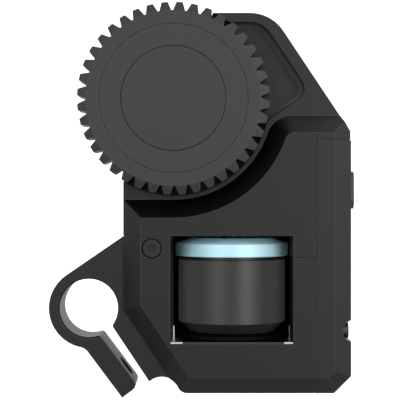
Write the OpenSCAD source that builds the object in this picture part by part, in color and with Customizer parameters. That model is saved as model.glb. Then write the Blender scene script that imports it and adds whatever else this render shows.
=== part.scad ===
// Motorised follow focus unit: a rod-mounted housing whose geared drum motor
// turns a large toothed drive gear.
// X runs to the right, Y to the back and Z up, in millimetres.
// The origin is on the axis of the rod bore, half way along it.

/* [Rod clamp] */
// Radius of the rod bore
rod_r = 6; // [5:0.25:7]
// Length of the clamp along the rod
clamp_len = 11; // [9:0.5:11]
// Chamfer on the bore's edges
bore_chamfer = 0.35; // [0.2:0.05:0.5]
// Wall of the clamp ring
ring_wall = 2.2; // [1.8:0.1:2.8]
// Thickness of the clamp leg
leg_t = 4; // [3.4:0.1:4.4]
// Distance from the bore axis to the end of the leg
leg_reach = 18.85; // [17.5:0.25:20]
// Width of the slit at the bore
slit_w = 3.52; // [2.5:0.1:3.8]
// Radius of the clamp screw's clearance hole in the leg
leg_hole_r = 2.25; // [1.7:0.05:2.4]
// Radius of the tapped hole that faces it
tap_r = 1.65; // [1.3:0.05:1.9]
// Depth of the tapped hole
tap_depth = 6; // [4:0.5:7]

/* [Housing] */
// X of the left wall
left_x = 7.13; // [6.5:0.1:7.6]
// X of the right wall
right_x = 53.7; // [53:0.1:55]
// Z of the underside
bottom_z = -17.4; // [-18.4:0.1:-17]
// Radius of the rounded top left, about the drive gear's axis
crown_r = 17.9; // [17.6:0.1:18.8]
// Y of the front face
front_y = -9.7; // [-10.2:0.1:-9.4]
// Width of the 45 degree chamfer round the front face
chamfer = 3.7; // [3.4:0.1:3.9]
// Y of the back face
back_y = 18; // [17.8:0.1:19.5]
// Thickness of the back cover
back_t = 2; // [1.8:0.1:2.4]
// Wall of the shells
wall = 1.8; // [1.5:0.1:2]
// Slope of the slanted edges, measured from the horizontal
slant = 56.3; // [55:0.1:57.5]
// X at which the slanted edge would reach the top
slant_top_x = 37.5; // [37:0.1:38]
// Width of the cut lower right corner
corner_cut = 3.5; // [3:0.1:3.8]
// Radius of the top right corner
top_corner_r = 8.3; // [6:0.1:10]
// Z of the parting line between the upper and lower shells
part_z = 14.95; // [14.8:0.05:15.4]
// Z of the small parting line right of the window
part_low_z = 10.65; // [10:0.05:11.5]
// X of the side cover's front edge
cover_x = 46.4; // [46:0.1:46.8]
// Z of the side cover's top edge
cover_top_z = 34.6; // [34:0.1:34.9]
// Width of the parting lines
seam = 0.12; // [0.08:0.01:0.2]
// How far the side cover stands proud of the upper shell
cover_proud = 0.15; // [0.05:0.05:0.2]

/* [Gear recess] */
// Radial clearance round the drive gear
gear_clearance = 0.2; // [0.2:0.05:0.4]
// Width of the lip between the recess and the chamfer
lip = 0.8; // [0.6:0.05:0.9]
// Depth of the recess below the upper plate
pocket_depth = 3; // [2.6:0.1:3.2]
// Slope of the recess walls, as their width on plan
pocket_draft = 0.9; // [0.5:0.1:1]
// Height of the step that closes the front face at the right
step_z = 39.55; // [39:0.05:40]

/* [Motor window] */
// Distance from the motor's axis to the window's left edge
window_left = 12.74; // [12.6:0.02:12.8]
// Distance from the motor's axis to the window's right edge
window_right = 12.1; // [12.06:0.02:12.3]
// Z of the window's sill
window_z0 = -6.87; // [-7.2:0.05:-6.7]

/* [Drive gear] */
// X of the drive gear's axis
gear_x = 17.5; // [17.3:0.05:17.7]
// Z of the drive gear's axis
gear_z = 42.7; // [42.5:0.05:42.9]
// Number of teeth on the drive gear
gear_teeth = 40; // [36:1:44]
// Tip radius of the drive gear
gear_tip_r = 19.4; // [19.2:0.05:19.5]
// Depth of its teeth
tooth_depth = 1.76; // [1.5:0.02:1.9]
// Width of a tooth at its tip
tooth_tip_w = 1.27; // [1:0.01:1.35]
// Width of a tooth at its root
tooth_root_w = 2.42; // [2.1:0.01:2.45]
// Y of the drive gear's front face
gear_front_y = -11.5; // [-11.9:0.1:-11.2]
// Gap between the drive gear and the recess floor
gear_float = 0.6; // [0.4:0.05:0.8]
// Radius of the fine groove in the drive gear's face
face_r = 15; // [14.5:0.1:15.6]
// Radius of the cap in its middle
cap_r = 10.65; // [10:0.05:11.5]

/* [Motor] */
// X of the motor's axis
motor_x = 29.6; // [29.5:0.05:29.7]
// Y of the motor's axis
motor_y = 3.2; // [3:0.05:3.4]
// Outer radius of the bell
bell_r = 11.28; // [11.1:0.02:11.4]
// Outer radius of the coloured ring
ring_r = 11.95; // [11.8:0.05:12]
// Z of the bell's lower edge, where its cone begins
bell_z0 = -3.2; // [-3.4:0.05:-3]
// Z of the bell's upper edge
bell_z1 = 9.92; // [9.8:0.02:10]
// Z of the bottom of the coloured ring
ring_z0 = 10.52; // [10.4:0.02:10.6]
// Z of the top edge of the coloured ring
ring_z1 = 13.22; // [13:0.02:13.4]
// Number of magnets in the bell
magnets = 14; // [10:2:16]
// Number of slots in the stator
slots = 12; // [9:3:12]

/* [Gear train] */
// Height of the drive gear's axis above the layshaft's
lay_drop = 3.5; // [3.3:0.1:3.8]
// Module of the bevel gears
bevel_module = 0.6; // [0.58:0.005:0.61]
// Backlash on the pitch line
backlash = 0.12; // [0.08:0.01:0.18]
// Radius of the gear shaft
shaft_r = 3; // [2.5:0.1:3.2]
// Radius of the layshaft
layshaft_r = 1.5; // [1.3:0.05:1.6]
// Radius of the motor shaft
motor_shaft_r = 1.5; // [1.3:0.05:1.6]
// Radial clearance of every running fit
run = 0.03; // [0.02:0.005:0.06]

/* [Controls] */
// Height of the power button
button_h = 7.8; // [7:0.1:8.2]
// Width of the power button
button_w = 3.8; // [3.4:0.1:4.2]
// Z of the power button's centre
button_z = 24.3; // [23.8:0.1:24.8]
// Y of the power button's centre
button_y = -1; // [-1.5:0.1:0]
// How far the power button stands out
button_proud = 1; // [0.8:0.05:1.2]
// Travel of the power button
button_travel = 0.3; // [0.2:0.05:0.3]
// Z of the charging socket's centre
usb_z = -4.6; // [-5:0.1:-4.2]
// Y of the charging socket's centre
usb_y = -2; // [-2.2:0.1:-1.8]
// Height of the charging socket's opening
usb_slot_h = 4.3; // [4.1:0.05:4.6]
// Width of the charging socket's opening
usb_slot_w = 11.8; // [11.2:0.1:12]

/* [Hidden] */
$fn = 72;
eps = 0.01;
far = 60;
arc_step = 3.75;

top_z = gear_z + crown_r;
window_x0 = motor_x - window_left;
window_x1 = motor_x + window_right;
land_y = front_y + chamfer;
split_y = back_y - back_t;
floor_y = land_y + pocket_depth;
cavity_y = floor_y + 1.6;
gear_back_y = floor_y - gear_float;
gear_root_r = gear_tip_r - tooth_depth;
pocket_r = gear_tip_r + gear_clearance;
recess_r = pocket_r + lip;
sill_wall = 1.8;

// Unit vector at angle a.
function dir(a) = [cos(a), sin(a)];
// Where the line with normal angle a and distance c meets the line with b and d.
function meet(a, c, b, d) =
    [(c * sin(b) - d * sin(a)) / sin(b - a), (d * cos(a) - c * cos(b)) / sin(b - a)];
// A corner that is rounded with radius r: centre, start and end normals, radius.
// A negative radius rounds a hollow corner.
function corner(p, a, b, r) = [p - r / cos((b - a) / 2) * dir((a + b) / 2), a, b, r];
// A corner that stays sharp.
function sharp(p, a, b) = [p, a, b, 0];
// Points along a list of corners and arcs, drawn in by inset. A fifth value sets
// the number of steps on an arc.
function trace(arcs, inset = 0) = [for (s = arcs) each
    s[3] == 0
    ? [s[0] - inset / cos((s[2] - s[1]) / 2) * dir((s[1] + s[2]) / 2)]
    : let (n = len(s) > 4 ? s[4] : ceil(abs(s[2] - s[1]) / arc_step))
      [for (i = [0:n]) s[0] + (s[3] - inset) * dir(s[1] + (s[2] - s[1]) * i / n)]];

// Outer outline of the housing, anticlockwise from the lower right.
slant_n = 90 - slant;
slant_c = slant_top_x * cos(slant_n) + top_z * sin(slant_n);
function body_arc_end(inset) = 180 - acos((gear_x - left_x - inset) / (crown_r - inset));
diagonal_n = 180 + slant_n;
diagonal_c = -5.85;
function outline(x1, inset) = [
    sharp([x1, bottom_z + corner_cut], -45, 0),
    sharp(meet(0, x1, slant_n, slant_c), 0, slant_n),
    corner([slant_top_x, top_z], slant_n, 90, top_corner_r),
    [[gear_x, gear_z], 90, body_arc_end(inset), crown_r, 10],
    each base_outline(x1)
];
function body_points(inset = 0, x1 = right_x) = trace(outline(x1, inset), inset);
// The part of the outline that the raised front shares.
function base_outline(x1) = [
    sharp(meet(180, -left_x, diagonal_n, diagonal_c), 180, diagonal_n),
    sharp(meet(diagonal_n, diagonal_c, 270, -bottom_z), diagonal_n, 270),
    sharp([x1 - corner_cut, bottom_z], 270, 315)
];
// Outline of the raised front where it stands on the upper plate: step, rounded
// corner, crescent round the gear, and the left, diagonal and lower edges.
step_corner_r = 1.6;
step_corner = let (z = step_z - chamfer - step_corner_r, r = recess_r + chamfer + step_corner_r)
    [gear_x + sqrt(r * r - pow(z - gear_z, 2)), z];
step_corner_a = atan2(gear_z - step_corner[1], gear_x - step_corner[0]);
function front_outline(x1) = [
    sharp([x1, bottom_z + corner_cut], -45, 0),
    sharp([x1, step_z], 0, 90),
    [step_corner, 90, step_corner_a, step_corner_r + chamfer],
    [[gear_x, gear_z], step_corner_a, 90, -recess_r],
    sharp([left_x, gear_z - recess_r], 90, 180),
    each base_outline(x1)
];

// Outline of the gear recess drawn in by d: it follows the gear's circle and widens
// to a rounded leaf at the right.
pocket_top_z = top_z - 1.85;
pocket_slant_c = slant_c - 2.42;
pocket_low_n = -56;
pocket_low_c = [41.12, 41.4] * dir(pocket_low_n);
pocket_blend_r = 2.5;
pocket_low_r = 2.9;
pocket_high_r = 5;
blend_steps = 8;
low_steps = 16;
high_steps = 10;
function blend_at(d) = let (h = pocket_low_c - d + pocket_blend_r - [gear_x, gear_z] * dir(pocket_low_n))
    h * dir(pocket_low_n) + sqrt(pow(pocket_r + pocket_blend_r, 2) - h * h) * dir(pocket_low_n + 90);
function pocket_outline(d) = let (p = blend_at(d), a = atan2(p[1], p[0]), low_c = pocket_low_c - d,
    slant_d = pocket_slant_c - d, top = pocket_top_z - d) trace([
        [[gear_x, gear_z] + p, a, pocket_low_n, -pocket_blend_r, blend_steps],
        concat(corner(meet(pocket_low_n, low_c, slant_n, slant_d), pocket_low_n, slant_n,
            pocket_low_r - d), low_steps),
        concat(corner(meet(slant_n, slant_d, 90, top), slant_n, 90, pocket_high_r - d), high_steps),
        [[gear_x, gear_z], asin((top - gear_z) / pocket_r), a + 360, pocket_r, 60]
    ]);

// Extrudes a flat XZ shape from y0 to y1.
module slab(y0, y1) {
    translate([0, y1, 0]) rotate([90, 0, 0]) linear_extrude(y1 - y0) children();
}
// A disc or cone about a Y axis, with its radius at y0 and at y1.
module disc(x, z, y0, y1, r0, r1 = undef) {
    translate([x, y1, z]) rotate([90, 0, 0])
        cylinder(h = y1 - y0, r1 = is_undef(r1) ? r0 : r1, r2 = r0);
}
// A box from its lowest to its highest corner.
module box(a, b) {
    translate(a) cube(b - a);
}
// A solid between two outlines of equal point count, at y0 and y1.
module loft(a, y0, b, y1) {
    n = len(a);
    polyhedron(
        points = concat([for (p = a) [p[0], y0, p[1]]], [for (p = b) [p[0], y1, p[1]]]),
        faces = concat([[for (i = [n - 1:-1:0]) i]], [[for (i = [0:n - 1]) n + i]],
            [for (i = [0:n - 1]) each let (j = (i + 1) % n) [[i, j, n + j], [i, n + j, n + i]]]));
}
// Turns a flat [radius, Y] profile about the Y axis through x and z.
module turn_y(x, z, start = 0) {
    translate([x, 0, z]) rotate([-90, 0, 0]) rotate(-start) rotate_extrude() children();
}
// Turns a flat [radius, Z] profile about the motor's axis.
module turn_motor() {
    translate([motor_x, motor_y, 0]) rotate_extrude() children();
}
// A cylinder along the clamp screw, from s0 to s1 beyond the bore's axis.
module clamp_drill(r, s0, s1) {
    translate([leg_hole_u * dir(leg_n - 90)[0], 0, leg_hole_u * dir(leg_n - 90)[1]])
        rotate([0, 90 - leg_n, 0]) translate([0, 0, s0]) cylinder(h = s1 - s0, r = r);
}

// ---- Housing ----

// The recess that the drive gear turns in. Its wall bends into its floor, by
// rings of [how far the wall stands in, Y].
pocket_rings = [[0, land_y - eps], [0.13 * pocket_draft, land_y + 0.5 * pocket_depth],
    [0.45 * pocket_draft, land_y + 0.83 * pocket_depth], [pocket_draft, floor_y]];
module pocket_cut() {
    last = len(pocket_rings) - 1;
    n = len(pocket_outline(0));
    polyhedron(
        points = [for (ring = pocket_rings) each [for (p = pocket_outline(ring[0])) [p[0], ring[1], p[1]]]],
        faces = concat([[for (i = [n - 1:-1:0]) i]], [[for (i = [0:n - 1]) last * n + i]],
            [for (k = [0:last - 1], i = [0:n - 1]) each let (j = (i + 1) % n, a = k * n, b = a + n)
                [[a + i, a + j, b + j], [a + i, b + j, b + i]]]));
}
// The whole housing as one block, with its raised front bevelled on all sides
// but the slanted one.
module block(x1 = right_x) {
    slab(land_y, split_y) polygon(body_points(0, x1));
    difference() {
        loft(trace(front_outline(x1), chamfer), front_y, trace(front_outline(x1)), land_y);
        rotate([0, -slant_n, 0]) translate([slant_c, front_y - 1, -far]) cube([far, far, 2 * far]);
    }
}

// Clamp plate: ring, web and leg.
leg_n = 36.87;
leg_hole_u = 14.5;
ring_r_out = rod_r + ring_wall;
flank_c = 1.97;
leg_c = flank_c - slit_w;
web_top = [left_x, part_z];
web_a = atan2(web_top[1], web_top[0]) + acos(ring_r_out / norm(web_top));
function flank(u) = flank_c * dir(slant_n) + u * dir(slant_n - 90);
function leg_in(u) = leg_c * dir(leg_n) + u * dir(leg_n - 90);
function leg_out(u) = (leg_c - leg_t) * dir(leg_n) + u * dir(leg_n - 90);
flank_end = (bottom_z - flank_c * sin(slant_n)) / sin(slant_n - 90);
ring_fillet_r = 2.5;
lip_r = 0.8;
lip_bite = 0.03;
lip_steps = 8;
leg_end_r = 1.2;
drill_point = 0.6;
// Where the clamp screw's axis meets the flank, measured along it.
tap_from = (flank_c - leg_hole_u * cos(leg_n - 90 - slant_n)) / cos(leg_n - slant_n);
// Centre of a circle of radius q that touches a circle of radius r about the bore's axis
// from outside, and a line with normal angle n at distance c less q.
function touching(n, c, q, r, side = 1) = (c - side * q) * dir(n)
    + sqrt(pow(r + q, 2) - pow(c - side * q, 2)) * dir(n - 90);
ring_fillet = touching(leg_n, leg_c - leg_t, ring_fillet_r, ring_r_out);
leg_lip = touching(leg_n, leg_c, lip_r, rod_r - lip_bite);
flank_lip = touching(slant_n, flank_c, lip_r, rod_r - lip_bite, -1);
ring_end_a = atan2(ring_fillet[1], ring_fillet[0]) + 360;
// Outline of ring, leg, slit and web with its lips rounded; the bore is cut apart.
clamp_outline = concat(
    trace([
        [[0, 0], web_a, ring_end_a, ring_r_out],
        [ring_fillet, ring_end_a, leg_n + 180, -ring_fillet_r],
        sharp(leg_out(leg_reach), leg_n + 180, leg_n + 270),
        corner(leg_in(leg_reach), leg_n - 90, leg_n, leg_end_r),
        [leg_lip, leg_n, atan2(-leg_lip[1], -leg_lip[0]), lip_r, lip_steps]
    ]),
    [[0, 0]],
    trace([[flank_lip, atan2(-flank_lip[1], -flank_lip[0]), slant_n + 180, lip_r, lip_steps]]),
    [flank(flank_end), [24, bottom_z], [24, part_z - seam], web_top - [0, seam]]);
module clamp_plate() {
    difference() {
        slab(-clamp_len / 2, clamp_len / 2) polygon(clamp_outline);
        for (side = [-1, 1]) rotate([0, 0, side > 0 ? 180 : 0])
            disc(0, 0, -clamp_len / 2 - eps, -clamp_len / 2 + bore_chamfer, rod_r + bore_chamfer + eps, rod_r);
        clamp_drill(leg_hole_r, leg_c - leg_t - 2, leg_c + 1);
    }
}
// The tapped hole for the clamp screw, with its drill point.
module tapped_hole() {
    clamp_drill(tap_r, tap_from - 2, tap_from + tap_depth);
    translate([leg_hole_u * dir(leg_n - 90)[0], 0, leg_hole_u * dir(leg_n - 90)[1]])
        rotate([0, 90 - leg_n, 0]) translate([0, 0, tap_from + tap_depth - eps])
            cylinder(h = drill_point * tap_r, r1 = tap_r, r2 = 0.2);
}

notch_r = 3.8;
notch = [15, bottom_z - 0.5];
notch_round = 2.2;
notch_round_z = bottom_z + notch_round - 0.01;
notch_round_at = [notch[0] + sqrt(pow(notch_r + notch_round, 2) - pow(notch_round_z - notch[1], 2)), notch_round_z];
notch_a = atan2(notch_round_at[1] - notch[1], notch_round_at[0] - notch[0]);
// The notch in the underside, rounded off towards the right.
module notch_cut() {
    slab(-far, far) polygon(concat(
        trace([[notch, 180, notch_a, notch_r], [notch_round_at, notch_a + 180, 270, notch_round]]),
        [[notch_round_at[0], bottom_z - 1], [notch[0] - notch_r, bottom_z - 1]]));
}
bay_r = ring_r + 0.5;
lower_room_x0 = motor_x - 8.6;
screw_x = 13.1;
screw_z = 12.45;
screw_head_r = 1.82;
screw_recess_r = 2.1;
small_screw_r = 1;
back_screws = [[11.6, 2], [44, 2], [36, 55.6], [11.6, 20.5], [43, 17.5], [50.4, 30.6], [50.4, -10.6]];

module lower_body() color([0.16, 0.16, 0.17]) {
    difference() {
        union() {
            intersection() {
                block();
                slab(front_y - 1, split_y) polygon([[-far, part_z - seam], [window_x1, part_z - seam],
                    [window_x1, part_low_z - seam], [cover_x - seam, part_low_z - seam],
                    [cover_x - seam, -far], [-far, -far]]);
            }
            clamp_plate();
        }
        translate([motor_x, motor_y, window_z0]) cylinder(h = far, r = bay_r);
        box([window_x0, front_y - 1, window_z0], [window_x1, motor_y, far]);
        box([motor_x - 9, motor_y, window_z0], [motor_x + 9, split_y + 1, far]);
        box([lower_room_x0, land_y, bottom_z + wall], [far, split_y + 1, window_z0 - sill_wall]);
        notch_cut();
        disc(0, 0, -far, far, rod_r);
        tapped_hole();
        disc(screw_x, screw_z, front_y - 1, front_y + 2.4, screw_recess_r);
        disc(screw_x, screw_z, front_y, far, small_screw_r + 0.1);
        for (p = [back_screws[0], back_screws[1]]) disc(p[0], p[1], split_y - 7, far, small_screw_r);
        for (a = [45:90:315]) translate([motor_x + 7 * cos(a), motor_y + 7 * sin(a), window_z0 - 3])
            cylinder(h = 4, r = small_screw_r + 0.1);
    }
}

// Teeth of the inner gears: their ratios are the joints' ratios.
wheel_teeth = 24;
pinion_teeth = 18;
bevel_teeth = 24;
bevel_pinion_teeth = 12;
bearing_r = 6;
bearing_w = 3.5;
boss_wall = 1.8;
front_seat_y = floor_y + 1.1;
rear_seat_y = split_y + 0.2 - bearing_w;
lay_x = motor_x;
lay_z = gear_z - lay_drop;
spur_module = 2 * norm([lay_x - gear_x, lay_drop]) / (wheel_teeth + pinion_teeth);
bush_r = 3;
bush_len = 2.8;

module upper_housing() color([0.18, 0.18, 0.19]) {
    difference() {
        union() {
            difference() {
                intersection() {
                    block();
                    slab(front_y - 1, split_y) polygon([[-far, part_z], [window_x1, part_z],
                        [window_x1, part_low_z], [cover_x - seam, part_low_z],
                        [cover_x - seam, cover_top_z], [far * 2, cover_top_z], [far * 2, far * 2], [-far, far * 2]]);
                }
                pocket_cut();
                intersection() {
                    slab(cavity_y, split_y + 1) polygon(body_points(wall));
                    union() {
                        box([-far, cavity_y, part_z + wall], [cover_x - wall, far, far * 2]);
                        box([-far, cavity_y, cover_top_z + wall], [far * 2, far, far * 2]);
                    }
                }
            }
            disc(gear_x, gear_z, cavity_y - 0.5, front_seat_y + bearing_w, bearing_r + boss_wall);
            disc(lay_x, lay_z, cavity_y - 0.5, cavity_y + bush_len, bush_r + boss_wall - 0.2);
            intersection() {
                slab(cavity_y - 0.5, split_y) polygon(body_points(wall / 2));
                for (p = [back_screws[2], back_screws[3], back_screws[4]])
                    disc(p[0], p[1], cavity_y - 0.5, split_y, 2.4);
            }
        }
        disc(gear_x, gear_z, floor_y - 1, far, shaft_r + 0.8);
        disc(gear_x, gear_z, front_seat_y, far, bearing_r);
        disc(lay_x, lay_z, cavity_y, far, bush_r);
        translate([motor_x, motor_y, part_z - 1]) cylinder(h = wall + 2, r = bush_r + 0.6);
        for (p = [back_screws[2], back_screws[3], back_screws[4]])
            disc(p[0], p[1], split_y - 7, far, small_screw_r);
    }
}

button_x = right_x + cover_proud;
module pill(h, w, y0) {
    translate([0, button_y, button_z]) rotate([0, 90, 0]) linear_extrude(y0) {
        for (s = [-1, 1]) translate([s * (h - w) / 2, 0]) circle(d = w);
        square([h - w, w], center = true);
    }
}
button_clearance = 0.08;
shell_w = 8.9;
shell_h = 3.2;
shell_t = 0.3;
shell_x1 = right_x - 0.4;
room_x0 = cover_x + seam;
room_x1 = right_x - wall;
room_y0 = land_y - 0.5;
room_z0 = bottom_z + corner_cut + 1;

module right_cover() color([0.18, 0.18, 0.19]) {
    difference() {
        union() {
            difference() {
                intersection() {
                    block(button_x);
                    box([cover_x, front_y - 1, -far], [far, split_y, cover_top_z - seam]);
                }
                box([cover_x - 1, room_y0, room_z0], [room_x1, split_y + 1, cover_top_z - seam - wall]);
                usb_hull(shell_w + 0.3, shell_h + 0.3, cover_x - 1, room_x1);
            }
            for (p = [back_screws[5], back_screws[6]]) {
                disc(p[0], p[1], split_y - 6.5, split_y, 2);
                box([p[0], split_y - 6.5, p[1] - 2], [right_x - wall / 2, split_y, p[1] + 2]);
            }
        }
        translate([room_x1 - 1, 0, 0]) pill(button_h + 2 * button_clearance,
            button_w + 2 * button_clearance, far);
        usb_hull(usb_slot_w, usb_slot_h, room_x1 - 1, far);
        for (p = [back_screws[5], back_screws[6]]) disc(p[0], p[1], split_y - 5.5, far, small_screw_r);
    }
}
// A flat-sided slot shape, w wide along Y and h high, from x0 to x1.
module usb_hull(w, h, x0, x1) {
    translate([x0, usb_y, usb_z]) rotate([90, 0, 90]) linear_extrude(x1 - x0) {
        for (s = [-1, 1]) translate([s * (w - h) / 2, 0]) circle(d = h);
        square([w - h, h], center = true);
    }
}

back_edge = 1;
module back_cover() color([0.16, 0.16, 0.17]) {
    difference() {
        union() {
            slab(split_y, back_y - back_edge) polygon(body_points());
            loft(body_points(), back_y - back_edge, body_points(back_edge), back_y);
            disc(gear_x, gear_z, rear_seat_y - 0.6, split_y + eps, bearing_r + boss_wall);
            disc(lay_x, lay_z, split_y + 0.2 - bush_len, split_y + eps, bush_r + boss_wall - 0.2);
        }
        disc(gear_x, gear_z, rear_seat_y - 1, split_y + 0.2, bearing_r);
        disc(gear_x, gear_z, rear_seat_y, split_y + 1, shaft_r + 0.8);
        disc(lay_x, lay_z, split_y - bush_len, split_y + 0.2, bush_r);
        disc(lay_x, lay_z, split_y - bush_len, split_y + 0.8, layshaft_r + 0.4);
        notch_cut();
        disc(0, 0, -far, far, rod_r);
        disc(screw_x, screw_z, split_y - 1, back_y - 0.5, small_screw_r);
        for (p = back_screws) {
            disc(p[0], p[1], split_y - 1, far, small_screw_r + 0.1);
            disc(p[0], p[1], back_y - 1.2, far, screw_head_r + 0.15);
        }
    }
}

// ---- Fasteners ----

// A socket head screw along Y; the head's outer face is at y and the shank runs by len.
module screw(x, y, z, len, side = 1) {
    translate([x, y, z]) rotate([-90 * side, 0, 0]) difference() {
        union() {
            cylinder(h = 1.2, r = screw_head_r);
            translate([0, 0, 1.2 - eps]) cylinder(h = len, r = small_screw_r);
        }
        translate([0, 0, -eps]) cylinder(h = 0.8, r = 0.9, $fn = 6);
    }
}
module front_screw() color([0.2, 0.2, 0.21]) {
    screw(screw_x, front_y + 0.5, screw_z, back_y - 0.7 - (front_y + 1.7));
}
module cover_screws() color([0.2, 0.2, 0.21]) {
    for (p = back_screws) screw(p[0], back_y, p[1], 4.5, -1);
}
module motor_screws() color([0.6, 0.6, 0.62]) {
    for (a = [45:90:315])
        translate([motor_x + 7 * cos(a), motor_y + 7 * sin(a), window_z0 - sill_wall - 1]) {
            cylinder(h = 1, r = 1.7);
            cylinder(h = 1 + sill_wall + 0.9, r = small_screw_r);
        }
}

// ---- Drive gear and output shaft ----

gear_phase = 95.2;
tooth_slope = 0.8;
groove = 0.16;
cap_t = 1;
washer_r = 3.4;
shaft_y0 = gear_front_y + 3.6;
tip_over = 0.8;
flank_slope = (tooth_root_w - tooth_tip_w) / 2 / tooth_depth;
// Outline of a gear with straight-flanked teeth: half angles of a tooth at tip and root.
function toothed(n, tip_r, root_r, tip_a, root_a, phase) = [for (i = [0:n - 1]) each
    let (a = phase + i * 360 / n) [root_r * dir(a - root_a), tip_r * dir(a - tip_a),
        tip_r * dir(a + tip_a), root_r * dir(a + root_a)]];
module at_gear() {
    translate([gear_x, gear_z]) children();
}
module drive_gear() color([0.2, 0.2, 0.21]) {
    difference() {
        intersection() {
            slab(gear_front_y, gear_back_y) at_gear() polygon(toothed(gear_teeth, gear_tip_r + tip_over,
                gear_root_r, asin((tooth_tip_w / 2 - tip_over * flank_slope) / (gear_tip_r + tip_over)),
                asin(tooth_root_w / 2 / gear_root_r), gear_phase));
            turn_y(gear_x, gear_z, gear_phase) polygon([[0, gear_front_y], [face_r - groove, gear_front_y],
                [face_r, gear_front_y + groove], [face_r + groove, gear_front_y], [gear_root_r, gear_front_y],
                [gear_tip_r, gear_front_y + tooth_slope],
                [gear_tip_r, gear_back_y - 0.4], [gear_tip_r - 0.4, gear_back_y], [0, gear_back_y]]);
        }
        disc(gear_x, gear_z, gear_front_y - 1, gear_front_y + cap_t, cap_r);
        disc(gear_x, gear_z, gear_front_y, shaft_y0, washer_r + 0.2);
        disc(gear_x, gear_z, gear_front_y, 0, shaft_r);
        turn_y(gear_x, gear_z) polygon([[5.5, gear_back_y - 3.5], [gear_root_r - 2, gear_back_y - 3.5],
            [gear_root_r - 2, gear_back_y + 1], [5.5, gear_back_y + 1]]);
    }
}
module gear_cap() color([0.2, 0.2, 0.21]) {
    turn_y(gear_x, gear_z) polygon([[0, gear_front_y - 0.05], [cap_r - 0.2, gear_front_y - 0.05],
        [cap_r - 0.06, gear_front_y + 0.09], [cap_r - 0.06, gear_front_y + cap_t], [0, gear_front_y + cap_t]]);
}
module gear_shaft() color([0.7, 0.7, 0.72]) {
    difference() {
        disc(gear_x, gear_z, shaft_y0, split_y + 0.6, shaft_r);
        disc(gear_x, gear_z, shaft_y0 - 1, shaft_y0 + 7, 1.25);
    }
}
module gear_screw() color([0.55, 0.55, 0.57]) {
    difference() {
        union() {
            disc(gear_x, gear_z, shaft_y0 - 2, shaft_y0 - 0.4, 2.75);
            disc(gear_x, gear_z, shaft_y0 - 0.41, shaft_y0, washer_r);
            disc(gear_x, gear_z, shaft_y0 - 1, shaft_y0 + 6, 1.25);
        }
        translate([gear_x, shaft_y0 - 2 - eps, gear_z]) rotate([-90, 0, 0]) cylinder(h = 1.1, r = 1.45, $fn = 6);
    }
}
// Straight-flanked tooth angles from the pitch radius, for a tooth of the given thickness.
function half_angle(thickness, r) = atan(thickness / 2 / r);
pressure = 20;
function pitch_w(m) = PI * m / 2 - backlash;
function spur(n, phase) = let (m = spur_module, r = m * n / 2) toothed(n, r + m, r - 1.25 * m,
    half_angle(pitch_w(m) - 2 * m * tan(pressure) - 0.06, r + m),
    half_angle(pitch_w(m) + 2.1 * m * tan(pressure), r - 1.25 * m), phase);
lay_a = atan2(lay_z - gear_z, lay_x - gear_x);
wheel_y0 = 8.4;
wheel_y1 = 11.2;
module output_wheel() color([0.75, 0.65, 0.4]) {
    difference() {
        union() {
            slab(wheel_y0, wheel_y1) at_gear() difference() {
                polygon(spur(wheel_teeth, lay_a));
                for (i = [0:5]) rotate(i * 60) translate([5, 0]) circle(r = 1);
            }
            disc(gear_x, gear_z, front_seat_y + bearing_w + 0.1, wheel_y1 + 0.8, shaft_r + 0.55);
        }
        disc(gear_x, gear_z, -far, far, shaft_r);
    }
}
// Ball bearing parts, each for both bearings; grooves hold balls of ball_r.
ball_r = 0.8;
ball_track = (bearing_r + shaft_r) / 2;
module bearing_ring(r0, r1, y0) {
    turn_y(gear_x, gear_z) difference() {
        translate([r0, y0]) square([r1 - r0, bearing_w]);
        translate([ball_track, y0 + bearing_w / 2]) circle(r = ball_r + 0.02, $fn = 48);
    }
}
module bearing_outer_rings() color([0.75, 0.75, 0.77]) {
    for (y = [front_seat_y, rear_seat_y]) bearing_ring(ball_track + 0.45, bearing_r, y);
}
module bearing_inner_rings() color([0.75, 0.75, 0.77]) {
    for (y = [front_seat_y, rear_seat_y]) bearing_ring(shaft_r, ball_track - 0.45, y);
}
module bearing_balls() color([0.85, 0.85, 0.87]) {
    for (y = [front_seat_y, rear_seat_y], i = [0:7])
        translate([gear_x + ball_track * cos(i * 45), y + bearing_w / 2, gear_z + ball_track * sin(i * 45)])
            sphere(r = ball_r, $fn = 32);
}

// ---- Layshaft ----

bevel_gear_r = bevel_module * bevel_teeth / 2;
bevel_pinion_r = bevel_module * bevel_pinion_teeth / 2;
apex_y = motor_y;
bevel_face = 0.3;
// Outline of a bevel gear on its large end's plane: n teeth, distance h from the apex.
function bevelled(n, h, phase) = let (m = bevel_module, r = m * n / 2, cone = atan(r / h),
    slant_len = norm([r, h]), up = atan(m / slant_len), down = atan(1.25 * m / slant_len))
    toothed(n, h * tan(cone + up), h * tan(cone - down),
        half_angle(pitch_w(m) - 2 * m * tan(pressure), r + m * cos(cone)),
        half_angle(pitch_w(m) + 2.1 * m * tan(pressure), r - 1.25 * m * cos(cone)), phase);
module layshaft() color([0.7, 0.7, 0.72]) {
    disc(lay_x, lay_z, cavity_y + 0.1, split_y + 0.1, layshaft_r);
}
module layshaft_pinion() color([0.7, 0.7, 0.72]) {
    difference() {
        union() {
            slab(wheel_y0 - 0.1, wheel_y1 + 0.1) translate([lay_x, lay_z])
                polygon(spur(pinion_teeth, lay_a + 180 + 180 / pinion_teeth));
            disc(lay_x, lay_z, wheel_y1, split_y + 0.1 - bush_len, 2.6);
        }
        disc(lay_x, lay_z, -far, far, layshaft_r);
    }
}
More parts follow.
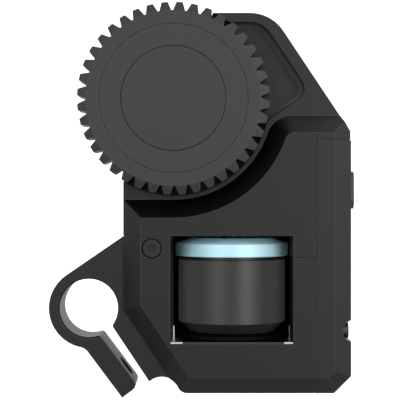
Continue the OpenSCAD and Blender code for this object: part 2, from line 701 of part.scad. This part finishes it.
module bevel_gear() color([0.75, 0.65, 0.4]) {
    difference() {
        union() {
            translate([lay_x, apex_y + bevel_pinion_r, lay_z]) rotate([90, 0, 0])
                linear_extrude(bevel_face * bevel_pinion_r, scale = 1 - bevel_face)
                    polygon(bevelled(bevel_teeth, bevel_pinion_r, 270));
            disc(lay_x, lay_z, apex_y + bevel_pinion_r - eps, wheel_y0 - 0.1, 4.4);
        }
        disc(lay_x, lay_z, -far, far, layshaft_r);
    }
}
module layshaft_bushes() color([0.7, 0.5, 0.3]) {
    for (y = [cavity_y, split_y + 0.2 - bush_len])
        turn_y(lay_x, lay_z) translate([layshaft_r + run, y]) square([bush_r - layshaft_r - run, bush_len]);
}

// ---- Motor ----

bell_wall = 0.88;
cone_r = 9;
cone_z = -5.35;
cone_wall = 0.8;
cone_slope = (bell_z0 - cone_z) / (bell_r - cone_r);
base_z0 = window_z0 + 0.32;
base_z1 = -5.62;
hub_r = 3.2;
core_z0 = -1.6;
core_z1 = 6.6;
module motor_plate() color([0.85, 0.85, 0.87]) {
    difference() {
        union() {
            translate([motor_x, motor_y, window_z0]) cylinder(h = base_z0 - window_z0, r = bay_r - 0.03);
            box([window_x0 + 0.05, front_y + 0.3, window_z0], [window_x1 - 0.05, motor_y, base_z0]);
        }
        translate([motor_x, motor_y, window_z0 - 1]) cylinder(h = 2, r = motor_shaft_r + 1);
        for (a = [45:90:315]) translate([motor_x + 7 * cos(a), motor_y + 7 * sin(a), window_z0 - 1])
            cylinder(h = 2, r = small_screw_r + 0.1);
    }
    intersection() {
        turn_motor() polygon([[bay_r - 0.28, base_z0 - eps], [bay_r - 0.03, base_z0 - eps],
            [bay_r - 0.03, -4.5], [bay_r - 0.28, -4.5]]);
        union() {
            box([motor_x - far, motor_y, -far], [motor_x - 9.2, far, far]);
            box([motor_x + 9.2, motor_y, -far], [motor_x + far, far, far]);
        }
    }
}
base_r = 11.6;
module motor_base() color([0.08, 0.08, 0.09]) {
    difference() {
        union() {
            turn_motor() {
                polygon([[0, base_z0], [base_r, base_z0], [base_r, base_z1], [0, base_z1]]);
                translate([base_r, (base_z0 + base_z1) / 2]) circle(d = base_z1 - base_z0);
            }
            translate([motor_x, motor_y, base_z1 - eps]) cylinder(h = core_z1 - base_z1 + 0.4, r = hub_r);
        }
        translate([motor_x, motor_y, -far]) cylinder(h = far * 2, r = 2.4);
        for (a = [45:90:315]) translate([motor_x + 7 * cos(a), motor_y + 7 * sin(a), window_z0 - 3])
            cylinder(h = 3 + 0.9, r = small_screw_r);
    }
}
module motor_bushes() color([0.7, 0.5, 0.3]) {
    for (z = [base_z0, core_z1 - 2.6]) turn_motor()
        translate([motor_shaft_r + run, z]) square([2.4 - motor_shaft_r - run, 3]);
}
module shaft_bush() color([0.7, 0.5, 0.3]) {
    turn_motor() polygon([[motor_shaft_r + run, part_z], [bush_r + 0.6, part_z], [bush_r + 0.6, part_z + wall],
        [bush_r + 1.4, part_z + wall], [bush_r + 1.4, part_z + wall + 0.6],
        [motor_shaft_r + run, part_z + wall + 0.6]]);
}
core_r = 9.2;
ring_slope = 1.1;
module stator_core() color([0.5, 0.5, 0.52]) {
    translate([motor_x, motor_y, core_z0]) linear_extrude(core_z1 - core_z0) difference() {
        union() {
            circle(r = hub_r + 1.4);
            for (i = [0:slots - 1]) rotate(i * 360 / slots) translate([0, -0.7]) square([core_r - 0.4, 1.4]);
            difference() {
                circle(r = core_r);
                circle(r = core_r - 0.8);
                for (i = [0:slots - 1]) rotate((i + 0.5) * 360 / slots) translate([0, -0.4]) square([far, 0.8]);
            }
        }
        circle(r = hub_r);
    }
}
module stator_windings() color([0.75, 0.4, 0.2]) {
    for (i = [0:slots - 1]) translate([motor_x, motor_y, 0]) rotate(i * 360 / slots) difference() {
        box([hub_r + 2.6, -1.35, core_z0 - 0.8], [core_r - 1, 1.35, core_z1 + 0.8]);
        box([0, -0.7, core_z0], [core_r, 0.7, core_z1]);
    }
}
module motor_bell() color([0.12, 0.12, 0.13]) {
    turn_motor() polygon(concat(
        [[bell_r, bell_z0], [cone_r, cone_z], [cone_r, cone_z + cone_wall],
            [bell_r - bell_wall, bell_z0 + cone_wall - bell_wall * cone_slope],
            [bell_r - bell_wall, bell_z1 - 1], [motor_shaft_r, bell_z1 - 1],
            [motor_shaft_r, part_z - 0.15], [2.4, part_z - 0.15], [2.4, ring_z1 + 0.9], [7.6, ring_z1 + 0.9],
            [8, ring_z1 + 0.5], [8, ring_z0],
            [ring_r - 1, ring_z0], [ring_r - 1, bell_z1], [bell_r - 0.15, bell_z1], [bell_r, bell_z1 - 0.15]]));
}
module bell_ring() color([0.62, 0.85, 0.9]) {
    turn_motor() polygon([[8.02, ring_z0], [ring_r - 0.15, ring_z0], [ring_r, ring_z0 + 0.15],
        [ring_r, ring_z1 - 0.1], [ring_r - 0.15, ring_z1], [8.5, ring_z1 + ring_slope],
        [8.02, ring_z1 + ring_slope]]);
}
module bell_magnets() color([0.7, 0.7, 0.72]) {
    step = 360 / magnets;
    for (i = [0:magnets - 1]) translate([motor_x, motor_y, core_z0 - 0.6]) rotate(i * step)
        rotate_extrude(angle = step - 3) translate([core_r + 0.4, 0])
            square([bell_r - bell_wall - core_r - 0.41, core_z1 - core_z0 + 1.2]);
}
pinion_z = lay_z - bevel_gear_r;
module motor_shaft() color([0.75, 0.75, 0.77]) {
    translate([motor_x, motor_y, base_z0 + 0.2])
        cylinder(h = pinion_z + bevel_gear_r * bevel_face - base_z0, r = motor_shaft_r);
}
module bevel_pinion() color([0.7, 0.7, 0.72]) {
    difference() {
        union() {
            translate([motor_x, motor_y, pinion_z])
                linear_extrude(bevel_face * bevel_gear_r, scale = 1 - bevel_face)
                    polygon(bevelled(bevel_pinion_teeth, bevel_gear_r, 90 + 180 / bevel_pinion_teeth));
            translate([motor_x, motor_y, part_z + wall + 0.7])
                cylinder(h = pinion_z - part_z - wall - 0.7 + eps, r = 2.7);
        }
        translate([motor_x, motor_y, 0]) cylinder(h = far, r = motor_shaft_r);
    }
}

// ---- Electronics and controls ----

board_x = room_x0 + 0.6;
board_t = 1.2;
board_face = board_x + board_t;
module circuit_board() color([0.05, 0.25, 0.12]) {
    difference() {
        box([board_x, room_y0 + 1, room_z0 + 0.4], [board_face, split_y - 7, cover_top_z - wall - 1]);
        for (z = [room_z0 + 2.4, cover_top_z - wall - 3]) translate([0, split_y - 9, z]) rotate([0, 90, 0])
            cylinder(h = far, r = small_screw_r + 0.1);
    }
}
module board_screws() color([0.6, 0.6, 0.62]) {
    for (z = [room_z0 + 2.4, cover_top_z - wall - 3]) translate([board_x - 0.5, split_y - 9, z])
        rotate([0, 90, 0]) {
            cylinder(h = board_t + 0.5, r = small_screw_r);
            translate([0, 0, board_t + 0.5]) cylinder(h = 0.9, r = 1.8);
        }
}
// Low corner in Y and Z, width, height and thickness of each chip.
chips = [[1, 2, 7, 7, 0.9], [-2, 12, 5, 4, 1.1], [4.4, 13, 3.4, 4, 1.4]];
module board_chips() color([0.08, 0.08, 0.09]) {
    for (c = chips) box([board_face, c[0], c[1]], [board_face + c[4], c[0] + c[2], c[1] + c[3]]);
}
module usb_shell() color([0.7, 0.7, 0.72]) {
    difference() {
        usb_hull(shell_w, shell_h, board_face, shell_x1);
        usb_hull(shell_w - 2 * shell_t, shell_h - 2 * shell_t, board_face + 2 * shell_t, far);
    }
}
module usb_tongue() color([0.05, 0.05, 0.06]) {
    box([board_face + 2 * shell_t, usb_y - 3.3, usb_z - 0.35], [shell_x1 - 0.6, usb_y + 3.3, usb_z + 0.35]);
}
switch_x = room_x1 - 1.1 - button_travel;
module button_switch() color([0.3, 0.3, 0.32]) {
    box([board_face, button_y - 1.6, button_z - 1.6], [switch_x - 0.4, button_y + 1.6, button_z + 1.6]);
    translate([switch_x - 0.41, button_y, button_z]) rotate([0, 90, 0]) cylinder(h = 0.41, r = 0.9);
}
module power_button() color([0.2, 0.2, 0.21]) {
    translate([room_x1 - 0.65, 0, 0]) pill(button_h, button_w, button_x - room_x1 + 0.65 + button_proud);
    translate([room_x1 - 0.65, 0, 0]) pill(button_h + 1.4, button_w + 1.4, 0.6);
    translate([switch_x + button_travel + 0.02, button_y, button_z]) rotate([0, 90, 0])
        cylinder(h = room_x1 - 0.6 - switch_x - button_travel, r = 1.1);
}

lower_body();
upper_housing();
right_cover();
back_cover();
front_screw();
cover_screws();
motor_screws();
drive_gear();
gear_cap();
gear_shaft();
gear_screw();
output_wheel();
bearing_outer_rings();
bearing_inner_rings();
bearing_balls();
layshaft();
layshaft_pinion();
bevel_gear();
layshaft_bushes();
motor_plate();
motor_base();
motor_bushes();
shaft_bush();
stator_core();
stator_windings();
motor_bell();
bell_ring();
bell_magnets();
motor_shaft();
bevel_pinion();
circuit_board();
board_screws();
board_chips();
usb_shell();
usb_tongue();
button_switch();
power_button();
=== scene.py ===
"""Looks of the motorised follow focus unit: materials, light and camera.

Everything is in metres in the part's own frame: X to the right, Y to the back and Z up,
with the origin on the rod bore's axis. Lengths below are written in millimetres times MM.
"""
import math

import bpy
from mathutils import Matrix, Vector

MM = 0.001
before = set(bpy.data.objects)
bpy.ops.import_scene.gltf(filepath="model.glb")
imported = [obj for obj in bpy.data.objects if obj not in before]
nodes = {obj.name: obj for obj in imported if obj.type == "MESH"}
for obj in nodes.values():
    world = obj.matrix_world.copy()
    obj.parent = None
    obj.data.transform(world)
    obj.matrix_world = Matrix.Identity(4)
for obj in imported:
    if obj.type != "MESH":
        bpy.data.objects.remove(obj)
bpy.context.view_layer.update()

# ---------------------------------------------------------------- camera
CAMERA_AT = (22.86, -254.7, 22.22)
FOCAL_PX = 1213.0
FRAME_PX = 400.0
SENSOR_MM = 36.0
CLIP = (0.01, 20.0)

camera_data = bpy.data.cameras.new("camera")
camera_data.sensor_width = SENSOR_MM
camera_data.lens = FOCAL_PX / FRAME_PX * SENSOR_MM
camera_data.clip_start, camera_data.clip_end = CLIP
camera_data.dof.use_dof = False
camera = bpy.data.objects.new("camera", camera_data)
camera.location = [c * MM for c in CAMERA_AT]
camera.rotation_euler = (math.radians(90), 0, 0)
bpy.context.scene.collection.objects.link(camera)
bpy.context.scene.camera = camera

# ---------------------------------------------------------------- node helpers


def new_material(name):
    """An empty node material, as (material, its tree, the socket of its surface)."""
    material = bpy.data.materials.new(name)
    material.use_nodes = True
    tree = material.node_tree
    tree.nodes.clear()
    return material, tree, tree.nodes.new("ShaderNodeOutputMaterial").inputs["Surface"]


def principled(material):
    """The material's principled shader."""
    return material.node_tree.nodes["Principled BSDF"]


def feed(tree, value, socket):
    """Links the value to the socket, or sets it there if it is a constant."""
    if isinstance(value, bpy.types.NodeSocket):
        tree.links.new(value, socket)
    else:
        socket.default_value = value


def maths(tree, operation, first, second):
    """The result of that operation on two numbers, each a socket or a constant."""
    node = tree.nodes.new("ShaderNodeMath")
    node.operation = operation
    feed(tree, first, node.inputs[0])
    feed(tree, second, node.inputs[1])
    return node.outputs["Value"]


def vector_maths(tree, operation, first, second):
    """The node with that operation on two vectors, each a socket or a constant."""
    node = tree.nodes.new("ShaderNodeVectorMath")
    node.operation = operation
    feed(tree, first, node.inputs[0])
    feed(tree, second, node.inputs[1])
    return node


def map_range(tree, value, from_low, from_high, to_low, to_high):
    """The value carried from one span to the other, and held within it."""
    node = tree.nodes.new("ShaderNodeMapRange")
    node.inputs["From Min"].default_value = from_low
    node.inputs["From Max"].default_value = from_high
    node.inputs["To Min"].default_value = to_low
    node.inputs["To Max"].default_value = to_high
    tree.links.new(value, node.inputs["Value"])
    return node.outputs["Result"]


def between(tree, share, low, high):
    """low where share is 0 and high where it is 1."""
    return map_range(tree, share, 0.0, 1.0, low, high)


def coordinates(tree):
    """The texture coordinate node's sockets, Object and Normal among them."""
    return tree.nodes.new("ShaderNodeTexCoord").outputs


def within(tree, axis, low, high):
    """1 where the object's coordinate of that axis is between the two, in millimetres."""
    parts = tree.nodes.new("ShaderNodeSeparateXYZ")
    tree.links.new(coordinates(tree)["Object"], parts.inputs["Vector"])
    middle, half = (low + high) / 2 * MM, (high - low) / 2 * MM
    off = maths(tree, "SUBTRACT", parts.outputs[axis], middle)
    return maths(tree, "LESS_THAN", maths(tree, "ABSOLUTE", off, 0.0), half)


def noise(tree, stretch, scale, detail):
    """Noise in the object's stretched coordinates."""
    node = tree.nodes.new("ShaderNodeTexNoise")
    node.inputs["Scale"].default_value = scale
    node.inputs["Detail"].default_value = detail
    place = vector_maths(tree, "MULTIPLY", coordinates(tree)["Object"], stretch)
    tree.links.new(place.outputs["Vector"], node.inputs["Vector"])
    return node.outputs["Fac"]


# ---------------------------------------------------------------- surfaces
NOISE_SPAN = (0.3, 0.7)
FINE_DETAIL, BROAD_DETAIL = 2.0, 3.0
MOTTLE_PER_GRAIN = 6
BUMP_DEPTH = 0.02
EDGE_SAMPLES = 6
# Painted highlight along sharp edges: the cosines over which it fades in, and the paleness it
# adds.
EDGE_HIGHLIGHT_COSINES = (0.995, 0.96)
PAINTED_EDGE_HIGHLIGHT = 0.06
SHEEN_ROUGHNESS = 0.6


def surface(name, colour, roughness, metallic=0.0, specular=0.5, grain=0.0, grain_scale=4000.0,
            mottle=0.0, bump=0.0, bump_scale=2500.0, stretch=(1, 1, 1), edge=0.0):
    """A principled material. grain varies the roughness, mottle the colour and bump the
    surface, each with its own noise in the object's coordinates. edge rounds the look of
    sharp edges by that radius in millimetres, and with mottle a painted highlight makes them
    paler."""
    material, tree, out = new_material(name)
    shader = tree.nodes.new("ShaderNodeBsdfPrincipled")
    shader.inputs["Base Color"].default_value = (*colour, 1)
    shader.inputs["Roughness"].default_value = roughness
    shader.inputs["Metallic"].default_value = metallic
    shader.inputs["Specular IOR Level"].default_value = specular
    tree.links.new(shader.outputs["BSDF"], out)
    rounded = None
    if edge:
        bevel = tree.nodes.new("ShaderNodeBevel")
        bevel.samples = EDGE_SAMPLES
        bevel.inputs["Radius"].default_value = edge * MM
        rounded = bevel.outputs["Normal"]
        tree.links.new(rounded, shader.inputs["Normal"])
    if grain:
        fine = noise(tree, stretch, grain_scale, FINE_DETAIL)
        varied = map_range(tree, fine, *NOISE_SPAN, roughness - grain, roughness + grain)
        tree.links.new(varied, shader.inputs["Roughness"])
    if mottle:
        broad = noise(tree, stretch, grain_scale / MOTTLE_PER_GRAIN, BROAD_DETAIL)
        tinted = tree.nodes.new("ShaderNodeVectorMath")
        tinted.operation = "SCALE"
        tinted.inputs[0].default_value = colour
        tree.links.new(map_range(tree, broad, *NOISE_SPAN, 1 - mottle, 1 + mottle),
                       tinted.inputs["Scale"])
        painted = tinted.outputs["Vector"]
        # Painted highlight: the colour is made paler along sharp edges, where the rounded normal
        # turns from the face's own.
        if rounded:
            own = tree.nodes.new("ShaderNodeNewGeometry").outputs["Normal"]
            turned = vector_maths(tree, "DOT_PRODUCT", rounded, own).outputs["Value"]
            edge_highlight = map_range(tree, turned, *EDGE_HIGHLIGHT_COSINES, 0.0, PAINTED_EDGE_HIGHLIGHT)
            painted = vector_maths(tree, "ADD", painted, edge_highlight).outputs["Vector"]
        tree.links.new(painted, shader.inputs["Base Color"])
    if bump:
        raised = tree.nodes.new("ShaderNodeBump")
        raised.inputs["Strength"].default_value = bump
        raised.inputs["Distance"].default_value = BUMP_DEPTH * MM
        tree.links.new(noise(tree, stretch, bump_scale, FINE_DETAIL), raised.inputs["Height"])
        if rounded:
            tree.links.new(rounded, raised.inputs["Normal"])
        tree.links.new(raised.outputs["Normal"], shader.inputs["Normal"])
    return material


def velvet(material, weight, tint, span=None, beyond=0.0):
    """Lets the surface scatter light at a grazing view, as fine anodising does. With span, that
    is between those two Z in millimetres, and beyond them the weight is another; lowered there,
    it paints shade."""
    tree, shader = material.node_tree, principled(material)
    shader.inputs["Sheen Weight"].default_value = weight
    shader.inputs["Sheen Roughness"].default_value = SHEEN_ROUGHNESS
    shader.inputs["Sheen Tint"].default_value = (*tint, 1)
    if span:
        tree.links.new(between(tree, within(tree, "Z", *span), beyond, weight),
                       shader.inputs["Sheen Weight"])


def paint_glint_beyond(material, axis, low, high, grey):
    """Painted highlight: turns the colour to that grey beyond the two coordinates of the axis,
    in millimetres.
    """
    tree, base = material.node_tree, principled(material).inputs["Base Color"]
    dark = base.default_value[0]
    tree.links.new(between(tree, within(tree, axis, low, high), grey, dark), base)


def tint_where(material, share, grey):
    """Blends the colour towards that grey by share."""
    tree, base = material.node_tree, principled(material).inputs["Base Color"]
    blend = tree.nodes.new("ShaderNodeMix")
    blend.data_type = "RGBA"
    colours = {i.name: i for i in blend.inputs if i.type == "RGBA"}
    tree.links.new(share, blend.inputs["Factor"])
    tree.links.new(base.links[0].from_socket, colours["A"])
    colours["B"].default_value = (grey, grey, grey, 1)
    tree.links.new([o for o in blend.outputs if o.type == "RGBA"][0], base)


# ---------------------------------------------------------------- painted light and shade on the upper housing
GEAR_AXIS = (17.5, 42.7)
FACING_FROM = 2.5
# Painted light on the pocket's wall: its Y levels, how fully a face must look at the gear, and
# its grey.
POCKET_WALL_Y = (-4.9, -3.02)
POCKET_FACING_FULL = 5
POCKET_LIGHT_GREY = 0.09
# Painted shade on the bevel under the gear: its Y levels, facing, the distances over which it
# fades, and its grey.
CRESCENT_Y = (-9.68, -6.03)
CRESCENT_FACING_FULL = 14
CRESCENT_FADES = (31, 26)
CRESCENT_SHADE_GREY = 0.016


def facing_gear(tree, levels, full):
    """Picks the faces between those two Y levels that look at the gear's axis.

    Gives a share from 0 to 1 and the distance from the axis in metres. A face has the whole
    share where its plane passes the axis at full or further, in millimetres."""
    place = coordinates(tree)
    centre = (GEAR_AXIS[0] * MM, 0, GEAR_AXIS[1] * MM)
    away = vector_maths(tree, "SUBTRACT", place["Object"], centre).outputs["Vector"]
    flat = vector_maths(tree, "MULTIPLY", away, (1, 0, 1)).outputs["Vector"]
    facing = vector_maths(tree, "DOT_PRODUCT", flat, place["Normal"]).outputs["Value"]
    inward = map_range(tree, facing, -FACING_FROM * MM, -full * MM, 0.0, 1.0)
    far_off = tree.nodes.new("ShaderNodeVectorMath")
    far_off.operation = "LENGTH"
    tree.links.new(flat, far_off.inputs[0])
    share = maths(tree, "MULTIPLY", inward, within(tree, "Y", *levels))
    return share, far_off.outputs["Value"]


def paint_pocket_light(material):
    """Painted light: the pocket's wall is made paler between its edge and its floor."""
    share, _ = facing_gear(material.node_tree, POCKET_WALL_Y, POCKET_FACING_FULL)
    tint_where(material, share, POCKET_LIGHT_GREY)


def paint_crescent_shade(material):
    """Painted shade: the bevel under the gear is blacker in colour and made metallic so that it
    hardly reflects, and less so further from the gear.
    """
    tree = material.node_tree
    share, distance = facing_gear(tree, CRESCENT_Y, CRESCENT_FACING_FULL)
    outer, inner = CRESCENT_FADES
    near = map_range(tree, distance, outer * MM, inner * MM, 0.0, 1.0)
    black = maths(tree, "MULTIPLY", share, near)
    tint_where(material, black, CRESCENT_SHADE_GREY)
    tree.links.new(black, principled(material).inputs["Metallic"])


# ---------------------------------------------------------------- materials
SATIN = dict(grain=0.04, mottle=0.06, bump=0.12, edge=0.15)
FINE = dict(specular=0.3, grain=0.04, mottle=0.05, bump=0.2, bump_scale=3500.0)
METAL = dict(metallic=1.0)

anodised = surface("housing_black", (0.0055, 0.0057, 0.0042), 0.44, specular=0.26, **SATIN)
upper_black = anodised.copy()
upper_black.name = "upper_housing_black"
cover_black = surface("cover_black", (0.0062, 0.0064, 0.0048), 0.43, specular=0.27, **SATIN)
gear_black = surface("gear_black", (0.026, 0.026, 0.0255), 0.46, edge=0.1, **FINE)
cap_black = surface("cap_black", (0.0245, 0.0245, 0.024), 0.45, **FINE)
screw_black = surface("screw_black", (0.008, 0.008, 0.0085), 0.38, specular=0.3, grain=0.05)
steel = surface("steel", (0.56, 0.56, 0.57), 0.26, grain=0.06, grain_scale=900.0, **METAL)
shell_dark = surface("shell_dark", (0.05, 0.05, 0.051), 0.5, grain=0.05, **METAL)
bearing_steel = surface("bearing_steel", (0.66, 0.66, 0.67), 0.12, **METAL)
brass = surface("brass", (0.72, 0.55, 0.27), 0.27, grain=0.06, grain_scale=1500.0, **METAL)
bronze = surface("bronze", (0.47, 0.30, 0.16), 0.42, mottle=0.2, **METAL)
polished = surface("polished_metal", (0.07, 0.07, 0.07), 0.22, **METAL)
bell_black = surface("bell_black", (0.027, 0.027, 0.026), 0.36, grain=0.04, grain_scale=500.0,
                     stretch=(0.2, 0.2, 12.0), **METAL)
ice_blue = surface("ring_ice_blue", (0.5, 0.79, 0.88), 0.4, metallic=0.1, grain=0.04)
moulded = surface("moulded_black", (0.002, 0.002, 0.0022), 0.6, specular=0.05, grain=0.05,
                  bump=0.2)
tongue = surface("tongue_black", (0.05, 0.05, 0.052), 0.4)
switch_grey = surface("switch_grey", (0.12, 0.12, 0.125), 0.45)
button_black = surface("button_black", (0.02, 0.02, 0.021), 0.36, grain=0.04)
copper = surface("copper_wire", (0.55, 0.22, 0.08), 0.3, metallic=0.9, mottle=0.2, bump=0.6,
                 bump_scale=1800.0, stretch=(0.3, 0.3, 3.0))
board_green = surface("board_green", (0.012, 0.07, 0.04), 0.4, mottle=0.1)
lamination = surface("lamination_steel", (0.36, 0.36, 0.37), 0.4, bump=0.5, bump_scale=900.0,
                     stretch=(0.05, 0.05, 6.0), **METAL)

BELL_WALL_Z = (-3.2, 9.75)
PLATE_NO_GLINT_X = (19.3, 39.9)
# Below and above the bell's wall the sheen is lower: painted shade on the cone under the drum
# and at the groove under the ring.
velvet(bell_black, 0.55, (1, 1, 0.98), span=BELL_WALL_Z, beyond=0.09)
velvet(ice_blue, 1.0, (0.5, 0.88, 1.0))
# Painted glint: the plate is pale at its ends beyond that span, and stays dark between.
paint_glint_beyond(polished, "X", *PLATE_NO_GLINT_X, 0.75)
paint_pocket_light(upper_black)
paint_crescent_shade(upper_black)


def dress(material, *names):
    """Gives the named CAD nodes the material in all their slots."""
    for name in names:
        slots = nodes[name].data.materials
        if not slots:
            slots.append(material)
        for i in range(len(slots)):
            slots[i] = material


dress(anodised, "lower_body", "back_cover")
dress(upper_black, "upper_housing")
dress(cover_black, "right_cover")
dress(gear_black, "drive_gear")
dress(cap_black, "gear_cap")
dress(screw_black, "front_screw", "cover_screws")
dress(steel, "motor_screws", "gear_shaft", "gear_screw", "layshaft", "layshaft_pinion",
      "motor_shaft", "bevel_pinion", "board_screws", "bell_magnets")
dress(shell_dark, "usb_shell")
dress(bearing_steel, "bearing_outer_rings", "bearing_inner_rings", "bearing_balls")
dress(brass, "output_wheel", "bevel_gear")
dress(bronze, "layshaft_bushes", "motor_bushes", "shaft_bush")
dress(polished, "motor_plate")
dress(bell_black, "motor_bell")
dress(ice_blue, "bell_ring")
dress(moulded, "motor_base", "board_chips")
dress(tongue, "usb_tongue")
dress(switch_grey, "button_switch")
dress(button_black, "power_button")
dress(copper, "stator_windings")
dress(board_green, "circuit_board")
dress(lamination, "stator_core")

# ---------------------------------------------------------------- floor, backdrop and surround
FLOOR_Z = -0.12
FLOOR_REACH = 3.0
FLOOR_GREY, FLOOR_SHOWN = 0.55, 0.25
BACKDROP_Y = 0.5
BACKDROP_REACH, BACKDROP_TOP = 1, 1
BACKDROP_GREY, BACKDROP_SHOWN = 0.7, 1.0
SURROUND_LIGHT, SURROUND_SHOWN = 0.25, 1.0


def background_rays(tree):
    """1 on what the camera sees directly, in a mirror or through glass, and else 0."""
    path = tree.nodes.new("ShaderNodeLightPath")
    seen = path.outputs["Is Camera Ray"]
    for ray in ("Is Glossy Ray", "Is Transmission Ray"):
        seen = maths(tree, "MAXIMUM", seen, path.outputs[ray])
    return seen


def stage_material(name, grey, shown):
    """Pale and matt, with a glow of strength shown for the background's rays."""
    material, tree, out = new_material(name)
    matt = tree.nodes.new("ShaderNodeBsdfDiffuse")
    matt.inputs["Color"].default_value = (grey, grey, grey, 1)
    glow = tree.nodes.new("ShaderNodeEmission")
    tree.links.new(between(tree, background_rays(tree), 0.0, shown), glow.inputs["Strength"])
    both = tree.nodes.new("ShaderNodeAddShader")
    tree.links.new(matt.outputs["BSDF"], both.inputs[0])
    tree.links.new(glow.outputs["Emission"], both.inputs[1])
    tree.links.new(both.outputs["Shader"], out)
    return material


def flat_piece(name, corners, material):
    """A single quad as a stage piece."""
    mesh = bpy.data.meshes.new(name)
    mesh.from_pydata(corners, [], [(0, 1, 2, 3)])
    mesh.materials.append(material)
    piece = bpy.data.objects.new(name, mesh)
    bpy.context.scene.collection.objects.link(piece)


floor_pale = stage_material("floor_pale", FLOOR_GREY, FLOOR_SHOWN)
backdrop_white = stage_material("backdrop_white", BACKDROP_GREY, BACKDROP_SHOWN)
flat_piece("floor", [(-FLOOR_REACH, -FLOOR_REACH, FLOOR_Z), (FLOOR_REACH, -FLOOR_REACH, FLOOR_Z),
                     (FLOOR_REACH, FLOOR_REACH, FLOOR_Z), (-FLOOR_REACH, FLOOR_REACH, FLOOR_Z)],
           floor_pale)
flat_piece("backdrop", [(-BACKDROP_REACH, BACKDROP_Y, FLOOR_Z),
                        (BACKDROP_REACH, BACKDROP_Y, FLOOR_Z),
                        (BACKDROP_REACH, BACKDROP_Y, BACKDROP_TOP),
                        (-BACKDROP_REACH, BACKDROP_Y, BACKDROP_TOP)], backdrop_white)

world = bpy.data.worlds.new("studio")
world.use_nodes = True
sky = world.node_tree
surround = sky.nodes["Background"]
surround.inputs["Color"].default_value = (1, 1, 1, 1)
sky.links.new(between(sky, background_rays(sky), SURROUND_LIGHT, SURROUND_SHOWN),
              surround.inputs["Strength"])
bpy.context.scene.world = world

# ---------------------------------------------------------------- lamps
LOOK_AT = (0.026, 0.0, 0.022)
LAMP_ELEVATION = 8
LAMP_DISTANCE = 0.55
LAMP_WIDTH, LAMP_HEIGHT = 0.28, 0.55


def softbox(name, azimuth, radiance):
    """A rectangular lamp that faces the object. Azimuth 0 is the camera's side and 90 the
    right."""
    a, e = math.radians(azimuth), math.radians(LAMP_ELEVATION)
    out = Vector((math.sin(a) * math.cos(e), -math.cos(a) * math.cos(e), math.sin(e)))
    data = bpy.data.lights.new(name, "AREA")
    data.shape = "RECTANGLE"
    data.size, data.size_y = LAMP_WIDTH, LAMP_HEIGHT
    data.energy = radiance * math.pi * LAMP_WIDTH * LAMP_HEIGHT
    lamp = bpy.data.objects.new(name, data)
    lamp.location = Vector(LOOK_AT) + LAMP_DISTANCE * out
    lamp.rotation_mode = "QUATERNION"
    lamp.rotation_quaternion = out.to_track_quat("Z", "Y")
    lamp.visible_camera = False
    bpy.context.scene.collection.objects.link(lamp)


softbox("left_fill", -90, 0.3)
softbox("left_box", -30, 2.35)
softbox("front_fill", 0, 0.3)
softbox("right_box", 30, 4.2)
softbox("right_side_box", 60, 0.3)
softbox("right_fill", 90, 0.8)

# ---------------------------------------------------------------- colour handling
bpy.context.scene.view_settings.view_transform = "Standard"
